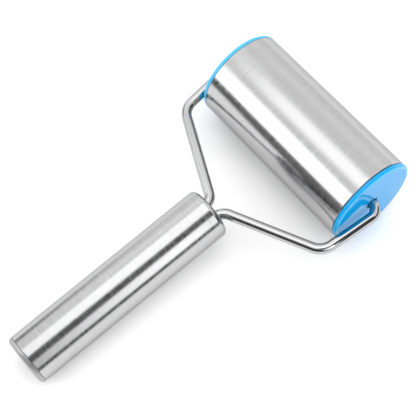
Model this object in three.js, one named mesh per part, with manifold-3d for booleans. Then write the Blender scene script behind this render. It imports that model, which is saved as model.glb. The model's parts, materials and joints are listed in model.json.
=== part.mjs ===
// Hand roller: a steel sleeve with plastic end caps turns on the two ends of a wire yoke, which is
// held in a tubular steel handle. Millimetres, +Z up. The roller's axis is parallel to X, the handle
// points to -Y, and the roller and the handle's butt stand on the plane Z = 0. The origin is the
// middle of the bounding box's base.
import * as THREE from "three";
import { mergeVertices } from "three/addons/utils/BufferGeometryUtils.js";
import Module from "manifold-3d";

const wasm = await Module();
wasm.setup();

// Driving dimensions.
const GAP = 0.3; // between pieces that meet
const SLEEVE_LENGTH = 100;
const SLEEVE_RADIUS = 25.4;
const SLEEVE_WALL = 1.2;
const CAP_THICKNESS = 2; // of the flange outside the sleeve
const CAP_EDGE_RADIUS = 1.7;
const WIRE_RADIUS = 2.75;
const AXLE_CLEARANCE = 0.35; // radial, between the wire and its bore
const HANDLE_FRONT = 64.15; // from the roller's axis to the handle's front face
const HANDLE_LENGTH = 121.15;
const HANDLE_RADIUS = 14;
const HANDLE_WALL = 1.2;
const HANDLE_FRONT_EDGE_RADIUS = 3;
const BUTT_EDGE_RADIUS = 2.5;
const BUTT_RIM = 2.6; // of the end piece outside the tube
const TAIL_SPACING = 8.2; // between the two wires inside the handle
const ARM_SLOPE = THREE.MathUtils.degToRad(25); // of the diagonals from the roller's axis
const LEG_LEAN = THREE.MathUtils.degToRad(5.3); // of the legs, outwards from the handle's direction
const LEG_FOOT = 58.6; // from the middle to where a leg's line meets the roller's axis
const ARM_ROOT = 60.1; // from the roller's axis to where a diagonal's line meets its tail

// Worked out from them.
const boreRadius = WIRE_RADIUS + AXLE_CLEARANCE;
const sleeveBore = SLEEVE_RADIUS - SLEEVE_WALL;
const tubeBore = HANDLE_RADIUS - HANDLE_WALL;
const tubeLength = HANDLE_LENGTH - BUTT_RIM - GAP;
const tailX = TAIL_SPACING / 2;

// A point of a turned profile: distance from the axis, and distance along it.
const at = (radius, along) => new THREE.Vector2(radius, along);

// A quarter round of a profile, from one angle to another about a centre.
function round(radius, along, size, from, to, steps = 4) {
  return Array.from({ length: steps + 1 }, (_, i) => {
    const angle = THREE.MathUtils.degToRad(from + ((to - from) * i) / steps);
    return at(radius + size * Math.cos(angle), along + size * Math.sin(angle));
  });
}

// A body turned about local Y. The profile starts and ends on the axis, or closes on itself.
function turned(profile, segments) {
  const closed = profile[0].x > 0;
  return new THREE.LatheGeometry(closed ? [...profile, profile[0]] : profile, segments);
}

// A geometry as a solid for cutting and joining.
function solid(geometry) {
  const bare = geometry.clone();
  bare.deleteAttribute("normal");
  bare.deleteAttribute("uv");
  const merged = mergeVertices(bare);
  return new wasm.Manifold(
    new wasm.Mesh({
      numProp: 3,
      vertProperties: new Float32Array(merged.attributes.position.array),
      triVerts: new Uint32Array(merged.index.array),
    }),
  );
}

// A solid as a geometry again.
function geometryOf(body) {
  const mesh = body.getMesh();
  const geometry = new THREE.BufferGeometry();
  geometry.setAttribute("position", new THREE.BufferAttribute(mesh.vertProperties, 3));
  geometry.setIndex(new THREE.BufferAttribute(mesh.triVerts, 1));
  geometry.computeVertexNormals();
  return geometry;
}

// A cylinder along local Y that starts at one height and ends at another, off the axis by x.
function drill(radius, from, to, x) {
  const cylinder = new THREE.CylinderGeometry(radius, radius, to - from, 20);
  return solid(cylinder.translate(x, (from + to) / 2, 0));
}

const finish = {
  brushedSteel: { color: 0xc9cacb, roughness: 0.3, metalness: 1 },
  polishedWire: { color: 0xd6d7d8, roughness: 0.1, metalness: 1 },
  satinSteel: { color: 0xc4c5c6, roughness: 0.42, metalness: 1 },
  bluePlastic: { color: 0x4aa8f2, roughness: 0.12, metalness: 0 },
  bearingPlastic: { color: 0xe8e6df, roughness: 0.5, metalness: 0 },
  anchorPlastic: { color: 0x3a3c40, roughness: 0.6, metalness: 0 },
  sealRubber: { color: 0x1c1d20, roughness: 0.8, metalness: 0 },
};

function piece(name, geometry, look) {
  const mesh = new THREE.Mesh(geometry, new THREE.MeshStandardMaterial(look));
  mesh.name = name;
  return mesh;
}

// The steel tube that does the work, with its outer edges just broken.
function sleeve() {
  const half = SLEEVE_LENGTH / 2;
  const broken = 0.3;
  return turned(
    [
      at(sleeveBore, -half),
      at(SLEEVE_RADIUS - broken, -half),
      at(SLEEVE_RADIUS, -half + broken),
      at(SLEEVE_RADIUS, half - broken),
      at(SLEEVE_RADIUS - broken, half),
      at(sleeveBore, half),
    ],
    64,
  );
}

// The end caps' own dimensions, along local +Y out of the roller from the sleeve's end.
const capFace = GAP + CAP_THICKNESS;
const capBack = -0.7;
const spigotRadius = sleeveBore - GAP;
const spigotBore = spigotRadius - 3.3;
const spigotDepth = 14;
const grooveTop = -4.5;
const grooveWidth = 2.6;
const grooveDepth = 2.3;
const hubRadius = 7.5;
const hubDepth = 19;
const cupSeat = 5.3;
const cupShoulder = -1.2;

// A cap: the face and flange, the spigot inside the sleeve with its seal groove, the hub, and six
// ribs between the two.
function endCap() {
  const mouth = 0.5;
  const lead = 0.8;
  const body = turned(
    [
      at(boreRadius, cupShoulder),
      at(cupSeat, cupShoulder),
      at(cupSeat, -hubDepth),
      at(hubRadius, -hubDepth),
      at(hubRadius, capBack),
      at(spigotBore, capBack),
      at(spigotBore, -spigotDepth),
      at(spigotRadius - lead, -spigotDepth),
      at(spigotRadius, -spigotDepth + lead),
      at(spigotRadius, grooveTop - grooveWidth),
      at(spigotRadius - grooveDepth, grooveTop - grooveWidth),
      at(spigotRadius - grooveDepth, grooveTop),
      at(spigotRadius, grooveTop),
      at(spigotRadius, GAP),
      at(SLEEVE_RADIUS, GAP),
      ...round(SLEEVE_RADIUS - CAP_EDGE_RADIUS, capFace - CAP_EDGE_RADIUS, CAP_EDGE_RADIUS, 0, 90),
      at(boreRadius + mouth, capFace),
      at(boreRadius, capFace - mouth),
    ],
    48,
  );
  const ribs = 6;
  const ribDepth = 9;
  const ribThickness = 1.8;
  const bite = 0.4; // how far a rib runs into the walls that it joins
  const ribLength = spigotBore - hubRadius + 2 * bite;
  const ribHeight = ribDepth + bite;
  let cap = solid(body);
  for (let i = 0; i < ribs; i++) {
    const rib = new THREE.BoxGeometry(ribLength, ribHeight, ribThickness);
    rib.translate((spigotBore + hubRadius) / 2, capBack + bite - ribHeight / 2, 0);
    rib.rotateY((2 * Math.PI * i) / ribs);
    cap = cap.add(solid(rib));
  }
  return geometryOf(cap);
}

// A rubber ring in the cap's groove, clear of its walls.
function sealRing() {
  const thickness = grooveWidth / 2 - GAP;
  const ring = new THREE.TorusGeometry(spigotRadius - thickness, thickness, 6, 32);
  return ring.rotateX(Math.PI / 2).translate(0, grooveTop - grooveWidth / 2, 0);
}

// A bearing cup in the cap's hub: its flange stands behind the hub, and its blind bore takes the wire.
function axleCup() {
  const flange = 2;
  const endWall = 3;
  const flangeFront = -hubDepth - GAP;
  const boreEnd = flangeFront - flange + endWall;
  return turned(
    [
      at(0, flangeFront - flange),
      at(hubRadius - GAP, flangeFront - flange),
      at(hubRadius - GAP, flangeFront),
      at(cupSeat - GAP, flangeFront),
      at(cupSeat - GAP, cupShoulder - GAP),
      at(boreRadius, cupShoulder - GAP),
      at(boreRadius, boreEnd),
      at(0, boreEnd),
    ],
    24,
  );
}

// The handle's tube along local +Y from its front face: closed and rounded in front, with a hole for
// each wire, and open at the butt.
function handleTube() {
  const frontWall = 1.5;
  const innerRound = HANDLE_FRONT_EDGE_RADIUS - HANDLE_WALL;
  const broken = 0.3;
  const shell = turned(
    [
      at(0, 0),
      ...round(
        HANDLE_RADIUS - HANDLE_FRONT_EDGE_RADIUS,
        HANDLE_FRONT_EDGE_RADIUS,
        HANDLE_FRONT_EDGE_RADIUS,
        -90,
        0,
      ),
      at(HANDLE_RADIUS, tubeLength - broken),
      at(HANDLE_RADIUS - broken, tubeLength),
      at(tubeBore, tubeLength),
      ...round(tubeBore - innerRound, frontWall + innerRound, innerRound, 0, -90, 3),
      at(0, frontWall),
    ],
    48,
  );
  const overrun = 1;
  let tube = solid(shell);
  for (const side of [-1, 1])
    tube = tube.subtract(drill(WIRE_RADIUS + GAP, -overrun, frontWall + overrun, side * tailX));
  return geometryOf(tube);
}

// The butt's end piece: a flat face with a rounded rim, and a hollow spigot inside the tube.
function handleEndCap() {
  const spigot = tubeBore - GAP;
  const wall = 2;
  const spigotEnd = tubeLength - 12;
  const lead = 0.6;
  const inside = HANDLE_LENGTH - 3;
  return turned(
    [
      at(0, inside),
      at(spigot - wall, inside),
      at(spigot - wall, spigotEnd),
      at(spigot - lead, spigotEnd),
      at(spigot, spigotEnd + lead),
      at(spigot, HANDLE_LENGTH - BUTT_RIM),
      at(HANDLE_RADIUS, HANDLE_LENGTH - BUTT_RIM),
      ...round(
        HANDLE_RADIUS - BUTT_EDGE_RADIUS,
        HANDLE_LENGTH - BUTT_EDGE_RADIUS,
        BUTT_EDGE_RADIUS,
        0,
        90,
        5,
      ),
      at(0, HANDLE_LENGTH),
    ],
    48,
  );
}

// The plug behind the handle's front wall that holds the two wire tails.
const anchorEnd = 32;
function yokeAnchor() {
  const front = 1.8;
  const nose = 2; // chamfer that clears the tube's inner round
  const radius = tubeBore - GAP;
  const tailEdge = 0.8;
  const block = turned(
    [
      at(0, front),
      at(radius - nose, front),
      at(radius, front + nose),
      at(radius, anchorEnd - tailEdge),
      at(radius - tailEdge, anchorEnd),
      at(0, anchorEnd),
    ],
    40,
  );
  let plug = solid(block);
  for (const side of [-1, 1])
    plug = plug.subtract(drill(WIRE_RADIUS + GAP, 0, anchorEnd + 1, side * tailX));
  return geometryOf(plug);
}

// A wire's centre line through corner points, each corner rounded by an arc of its own bend radius.
class BentWire extends THREE.CurvePath {
  constructor(corners) {
    super();
    const points = corners.map(([x, y]) => new THREE.Vector3(x, y, 0));
    let from = points[0];
    for (let i = 1; i < points.length - 1; i++) {
      const back = points[i - 1].clone().sub(points[i]).normalize();
      const on = points[i + 1].clone().sub(points[i]).normalize();
      const half = back.angleTo(on) / 2;
      const radius = corners[i][2];
      const start = points[i].clone().addScaledVector(back, radius / Math.tan(half));
      const end = points[i].clone().addScaledVector(on, radius / Math.tan(half));
      const middle = back.clone().add(on).normalize();
      const centre = points[i].clone().addScaledVector(middle, radius / Math.sin(half));
      this.add(new THREE.LineCurve3(from, start));
      this.add(new Bend(centre, start, end));
      from = end;
    }
    this.add(new THREE.LineCurve3(from, points.at(-1)));
  }
}

// A circular arc from start to end about centre, the short way round, in the XY plane.
class Bend extends THREE.Curve {
  constructor(centre, start, end) {
    super();
    this.centre = centre;
    this.spoke = start.clone().sub(centre);
    const last = end.clone().sub(centre);
    const turn = this.spoke.clone().cross(last).z;
    this.angle = Math.sign(turn) * this.spoke.angleTo(last);
  }
  getPoint(share, target = new THREE.Vector3()) {
    target.copy(this.spoke).applyAxisAngle(new THREE.Vector3(0, 0, 1), share * this.angle);
    return target.add(this.centre);
  }
}

// One arm of the yoke on side +1 or -1, in the plane of the handle's and the roller's axes: a hooked
// tail inside the handle, the diagonal, the leg, and the end that the roller turns on.
function yokeArm(side) {
  const hookSetback = 6.5; // from the plug's end to the hook's centre line
  const hookY = -HANDLE_FRONT - anchorEnd - hookSetback;
  const hookTip = 11.4;
  const axleDepth = 16.5; // from the sleeve's end to the tip of the wire
  const axleTip = SLEEVE_LENGTH / 2 - axleDepth;
  // The diagonal starts at the tail's line and meets the leg's line at the outer corner.
  const rise = Math.tan(ARM_SLOPE);
  const lean = Math.tan(LEG_LEAN);
  const cornerX = (LEG_FOOT - lean * (ARM_ROOT + rise * tailX)) / (1 - lean * rise);
  const cornerY = -ARM_ROOT + rise * (cornerX - tailX);
  const corners = [
    [hookTip, hookY],
    [tailX, hookY, 4],
    [tailX, -ARM_ROOT, 7],
    [cornerX, cornerY, 10],
    [LEG_FOOT, 0, 5.5],
    [axleTip, 0],
  ];
  const section = new THREE.Shape().absarc(0, 0, WIRE_RADIUS, 0, 2 * Math.PI);
  return new THREE.ExtrudeGeometry(section, {
    steps: 76,
    curveSegments: 6,
    extrudePath: new BentWire(corners.map(([x, y, radius]) => [side * x, y, radius])),
    bevelEnabled: false,
  });
}

// The roller turns about the X axis. Its end pieces are turned about local Y, which points outwards.
const roller = new THREE.Group();
const tube = piece("roller_sleeve", sleeve(), finish.brushedSteel);
tube.rotation.z = -Math.PI / 2;
roller.add(tube);
for (const [end, side] of [
  ["left", -1],
  ["right", 1],
]) {
  const parts = new THREE.Group();
  parts.add(piece(`end_cap_${end}`, endCap(), finish.bluePlastic));
  parts.add(piece(`axle_cup_${end}`, axleCup(), finish.bearingPlastic));
  parts.add(piece(`seal_ring_${end}`, sealRing(), finish.sealRubber));
  parts.position.x = (side * SLEEVE_LENGTH) / 2;
  parts.rotation.z = (-side * Math.PI) / 2;
  roller.add(parts);
}

// The handle's pieces are turned about local Y, which points from its front face to its butt.
const handle = new THREE.Group();
handle.add(piece("handle_tube", handleTube(), finish.brushedSteel));
handle.add(piece("handle_end_cap", handleEndCap(), finish.satinSteel));
handle.add(piece("yoke_anchor", yokeAnchor(), finish.anchorPlastic));
handle.position.y = -HANDLE_FRONT;
handle.rotation.x = Math.PI;

// The yoke and handle are pitched down about the roller's axis until the butt's rounded rim stands
// on the same plane as the roller: reach * sin(pitch) + drop * cos(pitch) + rim = sleeve radius.
const reach = HANDLE_FRONT + HANDLE_LENGTH - BUTT_EDGE_RADIUS;
const drop = HANDLE_RADIUS - BUTT_EDGE_RADIUS;
const pitch =
  Math.asin((SLEEVE_RADIUS - BUTT_EDGE_RADIUS) / Math.hypot(reach, drop)) - Math.atan2(drop, reach);
const frame = new THREE.Group();
frame.add(handle);
frame.add(piece("yoke_arm_left", yokeArm(-1), finish.polishedWire));
frame.add(piece("yoke_arm_right", yokeArm(1), finish.polishedWire));
frame.rotation.x = pitch;

// The box runs from the butt's upper rim to the far side of the sleeve.
const backEdge = -reach * Math.cos(pitch) - drop * Math.sin(pitch) - BUTT_EDGE_RADIUS;
const handRoller = new THREE.Group();
handRoller.add(roller, frame);
handRoller.position.set(0, -(SLEEVE_RADIUS + backEdge) / 2, SLEEVE_RADIUS);

export default handRoller;
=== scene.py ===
"""Hand roller: a brushed steel sleeve with glossy plastic end caps, turning on the ends of a polished
wire yoke that is held in a brushed steel tube handle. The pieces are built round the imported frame."""

import json
import math

import bpy
import numpy as np
from bpy.props import FloatProperty, FloatVectorProperty, PointerProperty
from mathutils import Matrix, Vector


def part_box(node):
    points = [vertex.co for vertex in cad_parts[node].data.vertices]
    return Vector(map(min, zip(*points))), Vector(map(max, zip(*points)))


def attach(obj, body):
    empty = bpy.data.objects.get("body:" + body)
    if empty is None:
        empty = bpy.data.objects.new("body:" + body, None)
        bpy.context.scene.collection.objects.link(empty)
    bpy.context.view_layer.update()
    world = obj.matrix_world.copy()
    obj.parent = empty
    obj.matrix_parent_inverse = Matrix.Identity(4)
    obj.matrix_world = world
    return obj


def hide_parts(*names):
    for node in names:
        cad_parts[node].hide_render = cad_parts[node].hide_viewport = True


bl_info = {
    "name": "Hand Roller",
    "version": (1, 0, 0),
    "blender": (4, 5, 0),
    "location": "3D View > Sidebar > Hand Roller",
    "description": "Builds a steel hand roller with a wire yoke and a tube handle, and a studio for it",
    "category": "Add Mesh",
}

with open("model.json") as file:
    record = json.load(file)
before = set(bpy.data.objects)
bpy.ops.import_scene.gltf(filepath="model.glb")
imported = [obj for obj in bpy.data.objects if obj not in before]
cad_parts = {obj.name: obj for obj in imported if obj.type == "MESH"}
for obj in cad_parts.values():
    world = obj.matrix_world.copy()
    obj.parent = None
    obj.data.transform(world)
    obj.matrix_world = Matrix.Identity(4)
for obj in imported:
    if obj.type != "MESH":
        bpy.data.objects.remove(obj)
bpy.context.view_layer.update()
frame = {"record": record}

MM = 0.001
WELD = 2.7e-7  # points closer than this are one
SHARP_ANGLE = math.radians(40)  # faces that meet at more than this have a crisp edge between them
BOX_SLACK = 0.4 * MM  # between a piece's box and the box of the CAD node that it stands for
X_AXIS = np.array([1.0, 0.0, 0.0])


# ---------------------------------------------------------------------------------------------
# Where things are, from the frame
# ---------------------------------------------------------------------------------------------


class Place:
    """A turned piece's own frame: a point on its axis, the axis, and two directions square to it."""

    def __init__(self, origin, axis, side):
        self.origin = np.array(origin, float)
        self.axis = np.array(axis, float)
        self.side = np.array(side, float)
        self.up = np.cross(self.axis, self.side)


sleeve_low, sleeve_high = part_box("roller_sleeve")
ROLLER_CENTRE = np.array((sleeve_low + sleeve_high) / 2)
SLEEVE_RADIUS = (sleeve_high.z - sleeve_low.z) / 2
SLEEVE_HALF = (sleeve_high.x - sleeve_low.x) / 2

butt_mount = next(m for m in frame["record"]["mounts"] if m["name"] == "handle_butt")
HANDLE_WAY = np.array(butt_mount["axis"]) / np.linalg.norm(butt_mount["axis"])
HANDLE_PITCH = math.atan2(-HANDLE_WAY[2], -HANDLE_WAY[1])
BUTT = np.array(butt_mount["pos_m"])
BUTT_REACH = float((BUTT - ROLLER_CENTRE) @ HANDLE_WAY)
tube_low, tube_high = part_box("handle_tube")
HANDLE_RADIUS = (tube_high.x - tube_low.x) / 2

YOKE = Place(ROLLER_CENTRE, HANDLE_WAY, X_AXIS)


def roller_end(side):
    """The frame of the end pieces on side +1 or -1: its axis points out of the roller."""
    return Place(ROLLER_CENTRE + side * SLEEVE_HALF * X_AXIS, side * X_AXIS, (0, 1, 0))


# ---------------------------------------------------------------------------------------------
# Shapes
# ---------------------------------------------------------------------------------------------


def unit(vectors):
    """The vectors at length one; a zero vector stays zero."""
    return vectors / np.maximum(np.linalg.norm(vectors, axis=-1, keepdims=True), 1e-12)


def rounded(corners, steps=8):
    """An outline through (x, y, radius) corners, each corner an arc that touches both its sides.

    Where the sides meet at the angle 2h, the arc's centre lies radius / sin(h) along the bisector,
    it starts radius / tan(h) before the corner, and it turns through half a turn less 2h."""
    corners = np.array(corners, float)
    points, radii = corners[:, :2], corners[:, 2:]
    back = unit(np.roll(points, 1, axis=0) - points)
    on = unit(np.roll(points, -1, axis=0) - points)
    half = np.arccos(np.clip((back * on).sum(1, keepdims=True), -1, 1)) / 2
    half = np.maximum(half, 1e-6)
    centre = points + unit(back + on) * radii / np.sin(half)
    spoke = points + back * radii / np.tan(half) - centre
    last = points + on * radii / np.tan(half) - centre
    way = np.sign(spoke[:, :1] * last[:, 1:] - spoke[:, 1:] * last[:, :1])
    angle = way * (math.pi - 2 * half) * np.linspace(0, 1, steps + 1)
    x = spoke[:, :1] * np.cos(angle) - spoke[:, 1:] * np.sin(angle)
    y = spoke[:, :1] * np.sin(angle) + spoke[:, 1:] * np.cos(angle)
    return (centre[:, None] + np.stack([x, y], -1)).reshape(-1, 2)


def looped(outline):
    """The outline with its first point again at its end."""
    return np.concatenate([outline, outline[:1]])


def turned(outline, place, angles):
    """The grid of a turned body: each (radius, along) point of the outline is carried round the axis.
    The angles are one for each column, or one for each column and point."""
    angles = np.asarray(angles)
    angles = angles[:, None] if angles.ndim == 1 else angles
    across = outline[..., 0] * np.cos(angles)
    upward = outline[..., 0] * np.sin(angles)
    along = np.broadcast_to(outline[..., 1], across.shape)
    spokes = place.origin + across[..., None] * place.side + upward[..., None] * place.up
    return spokes + along[..., None] * place.axis


def all_round(count):
    """Angles of a whole turn in equal steps, both ends included."""
    return np.linspace(0, 2 * math.pi, count + 1)


def swept(line, radius, sides):
    """The grid of a wire: a circle carried along a line of (x, y, z) points, square to it, closed at
    both ends by a rounded edge and a flat. The circle stands on the normal of the yoke's plane and
    on that normal crossed with the line's direction."""
    edge = 0.2 * radius
    step = 0.5 * MM
    turn = np.linspace(0, math.pi / 2, 7)
    lengths = np.concatenate([[0], np.cumsum(np.linalg.norm(np.diff(line, axis=0), axis=1))])
    whole = lengths[-1]
    body = np.linspace(edge, whole - edge, int(whole / step))
    lead = edge * (1 - np.cos(turn))
    stations = np.concatenate([[0], lead, body, whole - lead[::-1], [whole]])
    rim = radius - edge * (1 - np.sin(turn))
    radii = np.concatenate([[0], rim, np.full(body.shape, radius), rim[::-1], [0]])

    def at(distances):
        return np.stack([np.interp(distances, lengths, line[:, i]) for i in range(3)], -1)

    across = np.cross(YOKE.up, unit(at(stations + edge / 2) - at(stations - edge / 2)))
    angles = all_round(sides)
    spokes = np.cos(angles)[:, None] * YOKE.up + np.sin(angles)[:, None] * across[:, None]
    return at(stations)[:, None] + radii[:, None, None] * spokes


def pierced(place, outline, flat, front, back, hole_x, hole_radius, edge, rays=72):
    """The grids of a turned body whose two flat ends are pierced by a pair of round holes.

    Each half of an end is the fan of rays from its hole's middle to the half disc's outline: a ray
    ends on the circle of radius flat, or on the straight line between the halves, whichever is
    nearer. The holes' walls join the front end to the back, with rounded edges. The outline runs
    from the front end's circle to the back's, and is turned to the angles where the rays met it."""
    corner = math.atan2(flat, -hole_x)
    outer = np.linspace(-corner, corner, rays + 1)
    inner = np.linspace(corner, 2 * math.pi - corner, rays // 2 + 1)
    angles = np.concatenate([outer, inner])
    to_circle = np.sqrt(flat**2 - (hole_x * np.sin(angles)) ** 2) - hole_x * np.cos(angles)
    with np.errstate(divide="ignore"):
        to_line = np.where(np.cos(angles) < -1e-9, -hole_x / np.cos(angles), np.inf)
    ends = np.minimum(to_circle, to_line)[:, None]
    wall = rounded(
        [
            (hole_radius + 2 * edge, front, 0),
            (hole_radius, front, edge),
            (hole_radius, back, edge),
            (hole_radius + 2 * edge, back, 0),
        ]
    )
    ones = np.ones_like(ends)
    distance = np.concatenate([ends, ones * wall[:, 0], ends], axis=1)
    along = np.concatenate([ones * front, ones * wall[:, 1], ones * back], axis=1)
    grids = []
    for side in (1, -1):
        x = side * (hole_x + distance * np.cos(angles)[:, None])
        y = distance * np.sin(angles)[:, None]
        grid = x[..., None] * place.side + y[..., None] * place.up + along[..., None] * place.axis
        grids.append(place.origin + (grid if side > 0 else grid[::-1]))
    reach = to_circle[: outer.size]
    met = np.arctan2(reach * np.sin(outer), hole_x + reach * np.cos(outer))
    grids.append(turned(outline, place, np.concatenate([met, met + math.pi])))
    return grids


def grid_quads(rows, columns):
    """The four corners of each face of a grid, as the places of its points in the flattened grid."""
    index = np.arange(rows * columns).reshape(rows, columns)
    corners = [index[:-1, :-1], index[1:, :-1], index[1:, 1:], index[:-1, 1:]]
    return np.stack(corners, -1).reshape(-1, 4)


def mesh_of(name, grids):
    """One closed mesh from grids of points. Neighbouring points make the faces. Points of the same
    place are made one, which closes seams, poles and joins. A face that loses a corner that way
    becomes a triangle, and one that shrinks to a line is left out. Faces point outwards."""
    starts = np.cumsum([0] + [g.shape[0] * g.shape[1] for g in grids])
    quads = [start + grid_quads(*grid.shape[:2]) for grid, start in zip(grids, starts)]
    points = np.concatenate([g.reshape(-1, 3) for g in grids])
    cells = np.round(points / WELD).astype(np.int64)
    _, first, same = np.unique(cells, axis=0, return_index=True, return_inverse=True)
    points = points[first]
    quads = same.reshape(-1)[np.concatenate(quads)]
    repeats = quads == np.roll(quads, -1, axis=1)
    crossed = (quads[:, 0] == quads[:, 2]) | (quads[:, 1] == quads[:, 3])
    once = (repeats.sum(1) == 1) & ~crossed
    whole = quads[(repeats.sum(1) == 0) & ~crossed]
    corners = quads[once][~repeats[once]].reshape(-1, 3)
    thirds = np.concatenate([corners, whole[:, :3], whole[:, [0, 2, 3]]])
    a, b, c = (points[thirds[:, i]] for i in range(3))
    if (a * np.cross(b, c)).sum() < 0:
        whole, corners = whole[:, ::-1], corners[:, ::-1]
    mesh = bpy.data.meshes.new(name)
    mesh.from_pydata(points, [], whole.tolist() + corners.tolist())
    mesh.shade_smooth()
    mesh.set_sharp_from_angle(angle=SHARP_ANGLE)
    return mesh


def add_piece(name, grids, body, material, node):
    """Makes the piece that stands for a CAD node, and raises if its box isn't the node's box."""
    piece = bpy.data.objects.new(name, mesh_of(name, grids))
    bpy.context.scene.collection.objects.link(piece)
    piece.data.materials.append(material)
    shading = piece.modifiers.new("even_faces", "WEIGHTED_NORMAL")
    shading.keep_sharp = True
    low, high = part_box(node)
    points = np.array(piece.bound_box)
    gap = max(np.abs(points.min(0) - low).max(), np.abs(points.max(0) - high).max())
    if gap > BOX_SLACK:
        raise RuntimeError(f"{name} stands {gap / MM:.2f} mm off {node}")
    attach(piece, body)
    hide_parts(node)


# ---------------------------------------------------------------------------------------------
# Materials
# ---------------------------------------------------------------------------------------------


class Value:
    """A node's output that can be used in sums: each operator adds a Math node."""

    def __init__(self, look, socket):
        self.look = look
        self.socket = socket

    def math(self, operation, *others):
        return self.look.math(operation, self, *others)

    def __add__(self, other):
        return self.math("ADD", other)

    def __sub__(self, other):
        return self.math("SUBTRACT", other)

    def __mul__(self, other):
        return self.math("MULTIPLY", other)

    __radd__ = __add__


class Look:
    """One material and its nodes."""

    def __init__(self, name):
        self.material = bpy.data.materials.new(name)
        self.material.use_nodes = True
        self.tree = self.material.node_tree
        self.shader = self.tree.nodes["Principled BSDF"]

    def feed(self, socket, value):
        if isinstance(value, Value):
            self.tree.links.new(value.socket, socket)
        else:
            socket.default_value = value

    def node(self, kind, settings, inputs, output=0):
        """Adds a node of a kind, sets its settings, feeds its sockets, and returns one output."""
        made = self.tree.nodes.new("ShaderNode" + kind)
        for key, value in settings.items():
            setattr(made, key, value)
        for key, value in inputs.items():
            self.feed(made.inputs[key], value)
        return Value(self, made.outputs[output])

    def math(self, operation, *operands):
        return self.node("Math", {"operation": operation}, dict(enumerate(operands)))

    def surface(self, **sockets):
        """Feeds the shader's own sockets: base_color feeds Base Color."""
        for key, value in sockets.items():
            self.feed(self.shader.inputs[key.replace("_", " ").title()], value)
        return self.material

    def local(self, origin, pitch, sizes):
        """Object coordinates about a point, turned by a pitch about X, in cells of the given sizes."""
        here = self.node("TexCoord", {}, {}, "Object")
        settings = {"vector_type": "TEXTURE"}
        inputs = {"Vector": here, "Location": origin, "Rotation": (pitch, 0, 0), "Scale": sizes}
        return self.node("Mapping", settings, inputs)

    def noise(self, vector, scale, detail, roughness=0.5):
        inputs = {"Vector": vector, "Scale": scale, "Detail": detail, "Roughness": roughness}
        return self.node("TexNoise", {"noise_dimensions": "3D"}, inputs)

    def spread(self, value, low, high):
        """The value's range from low to high stretched to 0 to 1, and held there."""
        inputs = {"Value": value, "From Min": low, "From Max": high}
        return self.node("MapRange", {"clamp": True}, inputs)

    def blend(self, share, first, second):
        """Two colours mixed. A Mix node's colours are its sockets 6 and 7, and their mix output 2."""
        return self.node("Mix", {"data_type": "RGBA"}, {0: share, 6: first, 7: second}, 2)

    def bump(self, height, distance):
        return self.node("Bump", {}, {"Strength": 1.0, "Distance": distance, "Height": height})


def shade(colour, factor):
    """A colour made darker or lighter, as four numbers."""
    return (*(min(1.0, c * factor) for c in colour[:3]), 1.0)


BRUSHED_EDGE = (0.6, 0.6, 0.6, 1.0)  # steel's tint at a glancing angle, where a mirror is white
POLISHED_EDGE = (0.3, 0.3, 0.3, 1.0)


def brushed_steel(name, colour, origin, pitch, across, roughness, depth):
    """Steel brushed round the axis of a tube. The strokes are noise in cells that are long round
    the tube and short along it, at three widths; across is the unit axis that they are short on, and
    depth is how far they rise and fall."""
    look = Look(name)

    def strokes(width, length, detail):
        sizes = [width if a else length for a in across]
        return look.noise(look.local(origin, pitch, sizes), 1.0, detail)

    fine = strokes(0.3 * MM, 5 * MM, 1.0)
    middle = strokes(0.6 * MM, 9 * MM, 1.0)
    broad = strokes(9 * MM, 30 * MM, 1.0)
    scratches = look.spread(strokes(0.4 * MM, 4 * MM, 2.0), 0.6, 0.74)
    grain = look.spread(fine * 0.6 + middle * 0.36 + broad * 0.04, 0.35, 0.65)
    base = look.blend(grain, shade(colour, 0.935), shade(colour, 1.065))
    base = look.blend(scratches * 0.3, base, shade(colour, 1.35))
    return look.surface(
        base_color=base,
        metallic=1.0,
        roughness=roughness + grain * 0.12 + scratches * 0.05 - 0.06,
        specular_tint=BRUSHED_EDGE,
        normal=look.bump(fine * 0.6 + middle * 0.4 + scratches * 0.15, depth),
    )


def satin_steel(name, colour, origin, pitch):
    """Steel with a fine turned finish: rings round the axis, and a soft grey cast."""
    look = Look(name)
    here = look.local(origin, pitch, (1, 1, 1))
    apart = look.node("SeparateXYZ", {}, {"Vector": here}, "X")
    upward = look.node("SeparateXYZ", {}, {"Vector": here}, "Z")
    radius = (apart * apart + upward * upward).math("SQRT")
    rings = look.noise(look.node("CombineXYZ", {}, {"X": radius}), 3500.0, 2.0)
    cloud = look.noise(here, 180.0, 3.0)
    base = look.blend(cloud, shade(colour, 0.95), shade(colour, 1.05))
    return look.surface(
        base_color=base,
        metallic=1.0,
        specular_tint=BRUSHED_EDGE,
        roughness=0.48 + rings * 0.12 + cloud * 0.08,
        normal=look.bump(rings * 0.7 + cloud * 0.3, 0.015 * MM),
    )


def polished_wire(name, colour):
    """Drawn and polished steel wire: nearly a mirror, with faint pits and handling haze."""
    look = Look(name)
    here = look.local(tuple(ROLLER_CENTRE), 0.0, (1, 1, 1))
    haze = look.noise(here, 260.0, 3.0)
    pits = look.spread(look.noise(here, 2600.0, 2.0), 0.64, 0.76)
    base = look.blend(haze, shade(colour, 0.96), shade(colour, 1.03))
    return look.surface(
        base_color=base,
        metallic=1.0,
        specular_tint=POLISHED_EDGE,
        roughness=0.01 + haze * 0.04 + pits * 0.1,
        normal=look.bump(haze - pits * 0.4, 0.008 * MM),
    )


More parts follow.
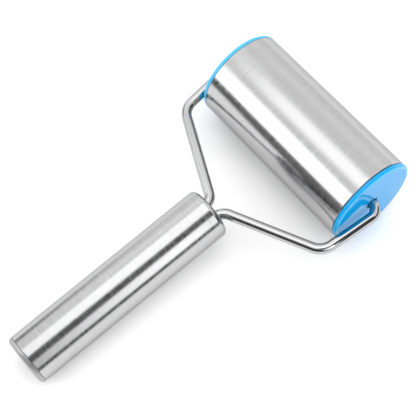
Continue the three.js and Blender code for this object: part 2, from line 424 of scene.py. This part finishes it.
def gloss_plastic(name, colour, ring, painted_glow_share):
    """Moulded plastic with a gloss face: a slight flow in the colour, a faint orange peel, and a haze
    of very fine marks. A painted highlight: a thin line of lighter, greener colour at the ring's
    radius round the roller's axis stands in for light caught by the face's edge. It is full up to
    one distance from that radius and fades out by another. The flange's outer edge gets as much of
    that greener colour, a painted glow, as the share argument says."""
    # Where the painted highlight is full and where it ends, and where the painted glow on the flange's
    # edge starts and is full
    highlight_full, highlight_end = 0.15 * MM, 0.5 * MM
    painted_glow_start, painted_glow_full = SLEEVE_RADIUS - MM, SLEEVE_RADIUS - 0.4 * MM
    look = Look(name)
    here = look.local(tuple(ROLLER_CENTRE), 0.0, (1, 1, 1))
    flow = look.noise(here, 45.0, 2.0)
    peel = look.noise(here, 420.0, 1.0)
    marks = look.spread(look.noise(here, 1500.0, 4.0, 0.6), 0.56, 0.78)
    y, z = (look.node("SeparateXYZ", {}, {"Vector": here}, axis) for axis in "YZ")
    radius = (y * y + z * z).math("SQRT")
    # Painted highlight: the share of the lighter, greener colour along the thin line at the ring's
    # radius
    line = look.spread((radius - ring).math("ABSOLUTE"), highlight_end, highlight_full)
    # Painted glow: the flange's outer edge is lightened the same way, scaled by the share argument
    painted_light_share = line.math("MAXIMUM", look.spread(radius, painted_glow_start, painted_glow_full) * painted_glow_share)
    base = look.blend(flow, shade(colour, 0.95), shade(colour, 1.05))
    # The lighter, greener colour of the painted highlight and the painted glow
    glow = (colour[0] + 0.09, min(1.0, colour[1] * 1.75), min(1.0, colour[2] * 1.15), 1.0)
    look.feed(look.shader.inputs["Specular IOR Level"], 0.3)
    return look.surface(
        base_color=look.blend(painted_light_share, base, glow),
        roughness=0.04 + marks * 0.07,
        normal=look.bump(peel, 0.015 * MM),
    )


def moulded(name, colour, roughness):
    """A plain moulded finish for the bearing cups, the seals and the plug inside the handle."""
    look = Look(name)
    here = look.local(tuple(ROLLER_CENTRE), 0.0, (1, 1, 1))
    grain = look.noise(here, 2200.0, 3.0)
    cloud = look.noise(here, 120.0, 2.0)
    return look.surface(
        base_color=look.blend(cloud, shade(colour, 0.88), shade(colour, 1.1)),
        roughness=roughness + grain * 0.15,
        normal=look.bump(grain, 0.02 * MM),
    )


# ---------------------------------------------------------------------------------------------
# Settings
# ---------------------------------------------------------------------------------------------


def length(name, description, default):
    return FloatProperty(
        name=name, description=description, default=default, unit="LENGTH", precision=5
    )


def angle(name, description, degrees):
    default = math.radians(degrees)
    return FloatProperty(name=name, description=description, default=default, subtype="ANGLE")


def factor(name, description, default):
    return FloatProperty(
        name=name, description=description, default=default, min=0, max=1, subtype="FACTOR"
    )


def plain_number(name, description, default):
    return FloatProperty(name=name, description=description, default=default, min=0)


def colour(name, description, default):
    return FloatVectorProperty(
        name=name, description=description, default=default, subtype="COLOR", min=0, max=1, size=3
    )


class SleeveSettings(bpy.types.PropertyGroup):
    wall: length("Wall", "Thickness of the steel tube", 1.2 * MM)
    edge: length("Edge", "Radius of the tube's rounded outer edges", 0.35 * MM)
    roughness: factor("Roughness", "How soft the brushed steel's reflections are", 0.17)
    strokes: length("Strokes", "Depth of the brush strokes", 0.012 * MM)
    steel: colour("Steel", "Colour of the steel", (0.5, 0.5, 0.505))


class CapSettings(bpy.types.PropertyGroup):
    right_seam: length("Right seam", "Gap between the sleeve's right end and the flange", 0.48 * MM)
    left_seam: length("Left seam", "The same gap at the left end, which is pressed closer", 0.1 * MM)
    face: length("Face", "From the sleeve's end to the cap's flat face", 2.5 * MM)
    edge: length("Edge", "Radius of the flange's rounded edge", 1.05 * MM)
    disc: length("Disc", "Radius of the face's raised disc", 24.1 * MM)
    lift: length("Lift", "Height of the raised disc over the flange", 0.25 * MM)
    bore: length("Bore", "Radius of the axle hole", 3.5 * MM)
    # Painted glow: how much of the lighter, greener colour each flange's edge gets, standing in for
    # light through its edge
    left_painted_glow: factor("Left glow", "Share of the greener rim colour on the left flange's edge", 0.6)
    right_painted_glow: factor("Right glow", "The same share on the right flange's edge", 0.0)
    plastic: colour("Plastic", "Colour of the glossy plastic", (0.005, 0.3, 0.66))
    bearing: colour("Bearing", "Colour of the bearing cups", (0.018, 0.02, 0.024))
    rubber: colour("Rubber", "Colour of the seal rings", (0.02, 0.021, 0.024))


class YokeSettings(bpy.types.PropertyGroup):
    wire: length("Wire", "Radius of the wire", 2.75 * MM)
    spacing: length("Spacing", "Between the middles of the two wires inside the handle", 8.2 * MM)
    root: length("Root", "From the roller's axis to where a diagonal's line meets its tail", 60.1 * MM)
    foot: length("Foot", "From the middle to where a leg's line meets the roller's axis", 58.6 * MM)
    slope: angle("Slope", "Angle between a diagonal and the roller's axis", 25)
    lean: angle("Lean", "How far the legs lean outwards", 5.3)
    steel: colour("Steel", "Colour of the polished wire", (0.52, 0.52, 0.525))


class HandleSettings(bpy.types.PropertyGroup):
    whole: length("Length", "Of the handle with its end piece", 121.15 * MM)
    wall: length("Wall", "Thickness of the steel tube", 1.2 * MM)
    front_edge: length("Front edge", "Radius of the tube's closed front end", 2.6 * MM)
    butt_edge: length("Butt edge", "Radius of the end piece's rim", 2.5 * MM)
    rim: length("Rim", "Of the end piece outside the tube", 2.6 * MM)
    seam: length("Seam", "Gap between the tube and the end piece", 0.12 * MM)
    plug: length("Plug", "From the front face to the end of the plug that holds the wires", 32 * MM)
    roughness: factor("Roughness", "How soft the brushed steel's reflections are", 0.19)
    strokes: length("Strokes", "Depth of the brush strokes", 0.022 * MM)
    steel: colour("Steel", "Colour of the tube", (0.5, 0.5, 0.505))
    end_steel: colour("End steel", "Colour of the end piece", (0.53, 0.53, 0.535))
    nylon: colour("Plug", "Colour of the plug inside the handle", (0.05, 0.052, 0.058))


class StageSettings(bpy.types.PropertyGroup):
    azimuth: angle("Azimuth", "Camera's way round from the front", 57.55)
    elevation: angle("Elevation", "Camera's height above the horizon", 64.44)
    roll: angle("Roll", "Camera's turn about its own line of sight", -7.88)
    distance: length("Distance", "From the camera to the point that it looks at", 0.6098)
    target: FloatVectorProperty(
        name="Target",
        description="The point that the camera looks at",
        default=(-0.00217, 0.01634, 0.02141),
        unit="LENGTH",
        size=3,
    )
    lens: plain_number("Lens", "Focal length on a 36 mm wide sensor, in millimetres", 102.1)
    surround: plain_number("Surround", "Brightness of the pale room", 1.07)
    key: plain_number("Key", "Brightness of the lamp that casts the shadow", 1.3)


def handle_front(settings):
    """The handle's frame: its origin is the front face's middle, and its axis points to the butt."""
    return Place(BUTT - settings.whole * HANDLE_WAY, HANDLE_WAY, X_AXIS)


# ---------------------------------------------------------------------------------------------
# The pieces
# ---------------------------------------------------------------------------------------------


class HANDROLLER_OT_sleeve(bpy.types.Operator):
    """Build the brushed steel sleeve of the roller"""

    bl_idname = "hand_roller.sleeve"
    bl_label = "Sleeve"

    def execute(self, context):
        s = context.scene.hand_roller_sleeve
        bore = SLEEVE_RADIUS - s.wall
        inner_edge = 0.2 * MM
        outline = rounded(
            [
                (bore, -SLEEVE_HALF, inner_edge),
                (SLEEVE_RADIUS, -SLEEVE_HALF, s.edge),
                (SLEEVE_RADIUS, SLEEVE_HALF, s.edge),
                (bore, SLEEVE_HALF, inner_edge),
            ]
        )
        place = Place(ROLLER_CENTRE, X_AXIS, (0, 1, 0))
        finish = s.roughness, s.strokes
        origin = tuple(ROLLER_CENTRE)
        material = brushed_steel("brushed_sleeve_steel", s.steel, origin, 0.0, (1, 0, 0), *finish)
        grids = [turned(looped(outline), place, all_round(240))]
        add_piece("sleeve", grids, "roller", material, "roller_sleeve")
        return {"FINISHED"}


def cap_grid(s, place, seam):
    """The cap's grid. Six ribs join the hub to the spigot behind the face, so the columns come in
    bays and ribs: a bay's outline goes down to the back of the face, and a rib's stops at the rib's
    top. The columns at a rib's two sides are parallel, at the angle asin(half a rib / radius) from
    its middle, and the step from the one outline to the other is the rib's side."""
    spigot = SLEEVE_RADIUS - 1.5 * MM
    spigot_bore = spigot - 3.3 * MM
    groove = spigot - 2.3 * MM
    groove_top, groove_low = -4.5 * MM, -7.1 * MM
    hub, seat = 7.5 * MM, 5.3 * MM
    shoulder, back = -1.2 * MM, -0.7 * MM
    depth, hub_depth, rib_depth = -14 * MM, -19 * MM, -9.7 * MM
    soft, mouth = 0.25 * MM, 0.12 * MM

    def outline(floor):
        return looped(
            rounded(
                [
                    (s.bore, shoulder, 0),
                    (seat, shoulder, 0),
                    (seat, hub_depth, soft),
                    (hub, hub_depth, soft),
                    (hub, rib_depth, 0),
                    (hub, floor, 0),
                    (spigot_bore, floor, 0),
                    (spigot_bore, rib_depth, 0),
                    (spigot_bore, depth, soft),
                    (spigot, depth, 3 * soft),
                    (spigot, groove_low, soft),
                    (groove, groove_low, 0),
                    (groove, groove_top, 0),
                    (spigot, groove_top, soft),
                    (spigot, seam, 0),
                    (SLEEVE_RADIUS, seam, 0.03 * MM),
                    (SLEEVE_RADIUS, s.face - s.lift, s.edge),
                    (s.disc, s.face - s.lift, 0.05 * MM),
                    (s.disc - 0.06 * MM, s.face, 0.16 * MM),
                    (s.bore, s.face, mouth),
                ],
                steps=10,
            )
        )

    bay, rib = outline(back), outline(rib_depth)
    ribs, half_rib = 6, 0.9 * MM
    pitch = 2 * math.pi / ribs
    side = np.arcsin(half_rib / bay[:, 0])
    in_bay = np.linspace(0, 1, 29)[:, None]
    on_rib = np.linspace(-1, 1, 3)[:, None]
    rib_side = np.arcsin(half_rib / rib[:, 0])
    angles, outlines = [], []
    for i in range(ribs):
        angles += [i * pitch + side + in_bay * (pitch - 2 * side), (i + 1) * pitch + on_rib * rib_side]
        outlines += [np.repeat(bay[None], in_bay.size, 0), np.repeat(rib[None], on_rib.size, 0)]
    angles.append(angles[0][:1])
    outlines.append(bay[None])
    return turned(np.concatenate(outlines), place, np.concatenate(angles))


class HANDROLLER_OT_end_caps(bpy.types.Operator):
    """Build the two glossy end caps, with the bearing cups in their hubs and the seals round them"""

    bl_idname = "hand_roller.end_caps"
    bl_label = "End Caps"

    def execute(self, context):
        s = context.scene.hand_roller_caps
        bearing = moulded("bearing_plastic", s.bearing, 0.35)
        rubber = moulded("seal_rubber", s.rubber, 0.6)
        body, flange, soft = 5.0 * MM, 7.2 * MM, 0.3 * MM
        mouth, floor = -1.5 * MM, -18.3 * MM
        flange_top, closed_end = -19.3 * MM, -21.3 * MM
        cup = rounded(
            [
                (0, closed_end, 0),
                (flange, closed_end, soft),
                (flange, flange_top, 0.2 * MM),
                (body, flange_top, 0),
                (body, mouth, soft),
                (s.bore, mouth, soft),
                (s.bore, floor, soft),
                (0, floor, 0),
            ]
        )
        section = all_round(20)
        ring_radius, ring_place, cord = 22.9 * MM, -5.8 * MM, MM
        ring = np.stack([ring_radius + cord * np.cos(section), ring_place + cord * np.sin(section)], -1)
        # Each cap gets its own share of the painted glow on its flange's edge
        ends = ("left", -1, s.left_seam, s.left_painted_glow), ("right", 1, s.right_seam, s.right_painted_glow)
        for name, side, seam, glow in ends:
            place = roller_end(side)
            plastic = gloss_plastic(f"glossy_{name}_cap", s.plastic, s.disc, glow)
            grids = [cap_grid(s, place, seam)]
            add_piece(f"cap_{name}", grids, "roller", plastic, f"end_cap_{name}")
            grids = [turned(cup, place, all_round(72))]
            add_piece(f"cup_{name}", grids, "roller", bearing, f"axle_cup_{name}")
            grids = [turned(ring, place, all_round(144))]
            add_piece(f"seal_{name}", grids, "roller", rubber, f"seal_ring_{name}")
        return {"FINISHED"}


def arm_line(s, side):
    """One arm's centre line in space: a hooked tail, the diagonal, the leg, and the axle's end. The
    corner between diagonal and leg is where their two lines meet."""
    tail = s.spacing / 2
    hook, hook_end = 102.65 * MM, 11.4 * MM
    axle_end = SLEEVE_HALF - 16.5 * MM
    rise, lean = math.tan(s.slope), math.tan(s.lean)
    corner_x = (s.foot - lean * (s.root + rise * tail)) / (1 - lean * rise)
    corner_y = s.root - rise * (corner_x - tail)
    corners = [
        (hook_end, hook, 0),
        (tail, hook, 4 * MM),
        (tail, s.root, 7 * MM),
        (corner_x, corner_y, 10 * MM),
        (s.foot, 0, 5.5 * MM),
        (axle_end, 0, 0),
    ]
    flat = rounded(corners, steps=48)
    return YOKE.origin + side * flat[:, :1] * YOKE.side + flat[:, 1:] * YOKE.axis


class HANDROLLER_OT_yoke(bpy.types.Operator):
    """Build the two arms of the wire yoke"""

    bl_idname = "hand_roller.yoke"
    bl_label = "Yoke"

    def execute(self, context):
        s = context.scene.hand_roller_yoke
        steel = polished_wire("polished_wire_steel", s.steel)
        for name, side in (("left", -1), ("right", 1)):
            grids = [swept(arm_line(s, side), s.wire, 40)]
            add_piece(f"wire_{name}", grids, "handle_frame", steel, f"yoke_arm_{name}")
        return {"FINISHED"}


class HANDROLLER_OT_handle(bpy.types.Operator):
    """Build the handle's tube, its end piece, and the plug inside it that holds the wires"""

    bl_idname = "hand_roller.handle"
    bl_label = "Handle"

    def execute(self, context):
        s = context.scene.hand_roller_handle
        yoke = context.scene.hand_roller_yoke
        place = handle_front(s)
        holes = yoke.spacing / 2, yoke.wire + 0.2 * MM, 0.25 * MM
        bore = HANDLE_RADIUS - s.wall
        front_wall = 1.5 * MM
        tube_end = s.whole - s.rim - s.seam
        flat = HANDLE_RADIUS - s.front_edge
        shell = rounded(
            [
                (flat, 0, 0),
                (HANDLE_RADIUS, 0, s.front_edge),
                (HANDLE_RADIUS, tube_end, 0.3 * MM),
                (bore, tube_end, 0.2 * MM),
                (bore, front_wall, bore - flat),
                (flat, front_wall, 0),
            ],
            steps=12,
        )
        finish = s.roughness, s.strokes
        origin = tuple(place.origin)
        steel = brushed_steel("brushed_handle_steel", s.steel, origin, HANDLE_PITCH, (0, 1, 0), *finish)
        grids = pierced(place, shell, flat, 0, front_wall, *holes)
        add_piece("handle_shell", grids, "handle_frame", steel, "handle_tube")

        spigot, wall, face = bore - 0.3 * MM, 2 * MM, 3 * MM
        spigot_end = s.whole - 14.9 * MM
        end = rounded(
            [
                (0, s.whole - face, 0),
                (spigot - wall, s.whole - face, 0.5 * MM),
                (spigot - wall, spigot_end, 0.2 * MM),
                (spigot, spigot_end, 0.6 * MM),
                (spigot, s.whole - s.rim, 0),
                (HANDLE_RADIUS, s.whole - s.rim, 0.09 * MM),
                (HANDLE_RADIUS, s.whole, s.butt_edge),
                (0, s.whole, 0),
            ],
            steps=12,
        )
        satin = satin_steel("satin_end_steel", s.end_steel, origin, HANDLE_PITCH)
        grids = [turned(end, place, all_round(192))]
        add_piece("handle_end", grids, "handle_frame", satin, "handle_end_cap")

        plug_front, chamfer = 1.8 * MM, 2 * MM
        plug = rounded(
            [
                (spigot - chamfer, plug_front, 0),
                (spigot, plug_front + chamfer, 0.5 * MM),
                (spigot, s.plug - chamfer, 0.5 * MM),
                (spigot - chamfer, s.plug, 0),
            ]
        )
        nylon = moulded("anchor_nylon", s.nylon, 0.5)
        grids = pierced(place, plug, spigot - chamfer, plug_front, s.plug, *holes, rays=40)
        add_piece("wire_plug", grids, "handle_frame", nylon, "yoke_anchor")
        return {"FINISHED"}


# ---------------------------------------------------------------------------------------------
# The stage
# ---------------------------------------------------------------------------------------------


def dome_patch(azimuths, elevations, distance):
    """A grid on a sphere about the origin, between two azimuths (from +X to +Y) and two elevations."""
    azimuth = np.radians(np.linspace(*azimuths, 33))[:, None]
    elevation = np.radians(np.linspace(*elevations, 25))[None]
    flat = distance * np.cos(elevation)
    x, y = flat * np.cos(azimuth), flat * np.sin(azimuth)
    z = np.broadcast_to(distance * np.sin(elevation), x.shape)
    return np.stack([x, y, z], -1)


def line_of_sight(s):
    """The unit vector from the tool to the camera."""
    level = math.cos(s.elevation)
    return np.array([math.sin(s.azimuth) * level, -math.cos(s.azimuth) * level, math.sin(s.elevation)])


def seen_in_handle(s, along, first_turns, last_turns, distance):
    """A grid of what the camera sees mirrored in the handle, from one place along it to another. The
    mirrored rays keep the share of the line of sight that runs along the handle, turned over, so
    those from one place make a cone round it. The turns are angles on that cone from +X, upwards."""
    start = ROLLER_CENTRE + np.linspace(*along, 25)[:, None, None] * HANDLE_WAY
    eye = np.array(s.target) + s.distance * line_of_sight(s)
    share = (unit(eye - start) @ HANDLE_WAY)[..., None]
    ends = np.radians(np.stack([np.linspace(*first_turns, 33), np.linspace(*last_turns, 33)]))
    part = np.linspace(0, 1, 25)[:, None]
    turn = ((1 - part) * ends[0] + part * ends[1])[..., None]
    across = np.cos(turn) * X_AXIS + np.sin(turn) * YOKE.up
    return start + distance * (np.sqrt(1 - share**2) * across - share * HANDLE_WAY)


def overhead(x_range, y_range, height):
    """A level grid over the tool."""
    x, y = np.meshgrid(np.linspace(*x_range, 25), np.linspace(*y_range, 25), indexing="ij")
    return np.stack([x, y, 0 * x + height], -1)


def upright_band(azimuths, radius, height):
    """A grid on a standing cylinder round the tool, from the floor up."""
    turn = np.radians(np.linspace(*azimuths, 49))
    turn, z = np.meshgrid(turn, np.linspace(0, height, 9), indexing="ij")
    return np.stack([radius * np.cos(turn), radius * np.sin(turn), z], -1)


def studio_sheets(s):
    """Each sheet of the studio: its name, grid, brightness from end to end, softness of the edges
    along and across, and whether it lights the matt surfaces."""
    strip = seen_in_handle(s, (0.056, 0.215), (10, 49), (13.5, 49), 0.45)
    top = seen_in_handle(s, (0.02, 0.23), (44, 71.5), (44, 79), 0.9)
    return (
        ("overhead_lamp", overhead((-0.53, 0.33), (-0.44, 0.5), 1.1), (2.0, 2.0), (0.1, 0.72), True),
        ("front_lamp", dome_patch((-166, -102), (16, 53), 1.2), (0.9, 3.0), (0.2, 0.12), True),
        ("left_fill", dome_patch((128, 190), (30, 61), 1.3), (1.3, 1.3), (0.3, 0.3), True),
        ("back_fill", dome_patch((85, 135), (14, 44), 1.3), (1.2, 1.2), (0.4, 0.9), True),
        ("right_strip", strip, (2.7, 0.45), (0.05, 0.13), True),
        ("dark_top", top, (0.12, 0.12), (0.05, 0.07), False),
        ("dark_side", dome_patch((-99, 12), (-8, 60), 0.95), (0.09, 0.09), (0.08, 0.15), False),
        ("dark_corner", dome_patch((-30, 36), (-8, 64), 0.95), (0.08, 0.08), (0.3, 0.1), False),
        ("dark_right", dome_patch((20, 80), (-8, 36), 0.92), (0.08, 0.08), (0.2, 0.3), False),
        ("front_gap", dome_patch((-134, -90), (-12, 20.3), 0.95), (0.03, 0.3), (0.3, 0.22), False),
        ("left_gap", dome_patch((172.5, 222.5), (0.5, 24), 1.0), (0.22, 0.22), (0.8, 0.4), False),
        ("table_edge", upright_band((-125, 22), 0.33, 0.05), (0.14, 0.14), (0.1, 0.2), False),
    )


def sheet(name, grid, brightness, softness, lamp):
    """A sheet of even light, or a dark one, that the steel sees and the camera doesn't. Its
    brightness goes evenly from one end of the grid to the other. The share of each point is the
    product of two smooth steps from the sheet's edges, and what is behind shows through the rest.
    A lamp also lights the matt surfaces."""
    rows, columns = grid.shape[:2]
    mesh = bpy.data.meshes.new(name)
    mesh.from_pydata(grid.reshape(-1, 3), [], grid_quads(rows, columns).tolist())
    u, v = np.linspace(0, 1, rows)[:, None], np.linspace(0, 1, columns)[None]
    inset = [np.clip(2 * np.minimum(w, 1 - w) / s, 0, 1) for w, s in zip((u, v), softness)]
    share = (inset[0] ** 2 * (3 - 2 * inset[0])) * (inset[1] ** 2 * (3 - 2 * inset[1]))
    glow = brightness[0] + (brightness[1] - brightness[0]) * (u + 0 * v)
    for key, values in (("share", share), ("glow", glow)):
        mesh.attributes.new(key, "FLOAT", "POINT").data.foreach_set("value", values.ravel())
    look = Look(name)
    share, glow = (look.node("Attribute", {"attribute_name": k}, {}, "Fac") for k in ("share", "glow"))
    light = look.node("Emission", {}, {"Strength": glow})
    clear = look.node("BsdfTransparent", {}, {})
    both = look.node("MixShader", {}, {0: share, 1: clear, 2: light})
    look.feed(look.tree.nodes["Material Output"].inputs["Surface"], both)
    look.tree.nodes.remove(look.shader)
    mesh.materials.append(look.material)
    holder = bpy.data.objects.new(name, mesh)
    holder.visible_camera = holder.visible_shadow = False
    holder.visible_diffuse = lamp
    bpy.context.scene.collection.objects.link(holder)


def key_lamp(location, target, size, brightness):
    """A soft lamp that lights the matt surfaces and casts the shadow. The steel doesn't see it. A
    disc of even brightness has a power of pi times its area times the brightness."""
    lamp = bpy.data.lights.new("key_lamp", "AREA")
    lamp.shape, lamp.size = "DISK", size
    lamp.energy = math.pi * (math.pi / 4 * size**2) * brightness
    holder = bpy.data.objects.new("key_lamp", lamp)
    holder.location = location
    holder.rotation_euler = (Vector(target) - Vector(location)).to_track_quat("-Z", "Y").to_euler()
    holder.visible_camera = holder.visible_glossy = False
    bpy.context.scene.collection.objects.link(holder)


def add_floor():
    """A pale matt floor, wide enough to run out of every view."""
    reach = 6.0
    mesh = bpy.data.meshes.new("floor")
    corners = [(-reach, -reach, 0), (reach, -reach, 0), (reach, reach, 0), (-reach, reach, 0)]
    mesh.from_pydata(corners, [], [(0, 1, 2, 3)])
    look = Look("pale_floor")
    mesh.materials.append(look.surface(base_color=(0.93, 0.93, 0.93, 1), roughness=0.9))
    floor = bpy.data.objects.new("floor", mesh)
    bpy.context.scene.collection.objects.link(floor)


def add_room(brightness):
    """An even pale room, which the camera itself sees as white."""
    world = bpy.data.worlds.new("room")
    bpy.context.scene.world = world
    world.use_nodes = True
    nodes, links = world.node_tree.nodes, world.node_tree.links
    seen = nodes.new("ShaderNodeLightPath").outputs["Is Camera Ray"]
    room = nodes["Background"]
    room.inputs["Color"].default_value = (1, 1, 1, 1)
    level = nodes.new("ShaderNodeMapRange")
    level.inputs["To Min"].default_value = brightness
    level.inputs["To Max"].default_value = 1.0
    links.new(seen, level.inputs["Value"])
    links.new(level.outputs["Result"], room.inputs["Strength"])


def add_camera(s):
    """The camera looks at the target from the azimuth, elevation and distance, turned by the roll."""
    back = Vector(line_of_sight(s))
    level = Vector((math.cos(s.azimuth), math.sin(s.azimuth), 0))
    upright = back.cross(level)
    right = math.cos(s.roll) * level + math.sin(s.roll) * upright
    upward = back.cross(right)
    lens = bpy.data.cameras.new("camera")
    lens.sensor_width, lens.lens = 36, s.lens
    lens.clip_start, lens.clip_end = 0.02, 50
    camera = bpy.data.objects.new("camera", lens)
    turn = Matrix((right, upward, back)).transposed().to_4x4()
    camera.matrix_world = Matrix.Translation(Vector(s.target) + s.distance * back) @ turn
    bpy.context.scene.collection.objects.link(camera)
    bpy.context.scene.camera = camera


class HANDROLLER_OT_stage(bpy.types.Operator):
    """Build the floor, the room, the camera, the lamps, and the dark sheets between them"""

    bl_idname = "hand_roller.stage"
    bl_label = "Stage"

    def execute(self, context):
        s = context.scene.hand_roller_stage
        context.scene.view_settings.view_transform = "Standard"
        add_floor()
        add_room(s.surround)
        add_camera(s)
        key_lamp(location=(0.15, 0.45, 1.05), target=(-0.02, 0.03, 0), size=1.3, brightness=s.key)
        for name, grid, brightness, softness, lamp in studio_sheets(s):
            sheet(name, grid, brightness, softness, lamp)
        return {"FINISHED"}


# ---------------------------------------------------------------------------------------------
# The add-on
# ---------------------------------------------------------------------------------------------

SETTINGS = {
    "hand_roller_sleeve": SleeveSettings,
    "hand_roller_caps": CapSettings,
    "hand_roller_yoke": YokeSettings,
    "hand_roller_handle": HandleSettings,
    "hand_roller_stage": StageSettings,
}
OPERATORS = (
    HANDROLLER_OT_sleeve,
    HANDROLLER_OT_end_caps,
    HANDROLLER_OT_yoke,
    HANDROLLER_OT_handle,
    HANDROLLER_OT_stage,
)


class HANDROLLER_PT_panel(bpy.types.Panel):
    """The roller's pieces and their settings"""

    bl_idname = "HANDROLLER_PT_panel"
    bl_label = "Hand Roller"
    bl_space_type = "VIEW_3D"
    bl_region_type = "UI"
    bl_category = "Hand Roller"

    def draw(self, context):
        for operator, setting in zip(OPERATORS, SETTINGS):
            box = self.layout.box()
            box.operator(operator.bl_idname)
            values = getattr(context.scene, setting)
            for name in values.bl_rna.properties.keys():
                if name not in {"rna_type", "name"}:
                    box.prop(values, name)


def register():
    for kind in (*SETTINGS.values(), *OPERATORS, HANDROLLER_PT_panel):
        bpy.utils.register_class(kind)
    for name, kind in SETTINGS.items():
        setattr(bpy.types.Scene, name, PointerProperty(type=kind))


def unregister():
    for name in SETTINGS:
        delattr(bpy.types.Scene, name)
    for kind in reversed((*SETTINGS.values(), *OPERATORS, HANDROLLER_PT_panel)):
        bpy.utils.unregister_class(kind)


def main():
    register()
    bpy.ops.hand_roller.sleeve()
    bpy.ops.hand_roller.end_caps()
    bpy.ops.hand_roller.yoke()
    bpy.ops.hand_roller.handle()
    bpy.ops.hand_roller.stage()


if __name__ == "__main__":
    main()
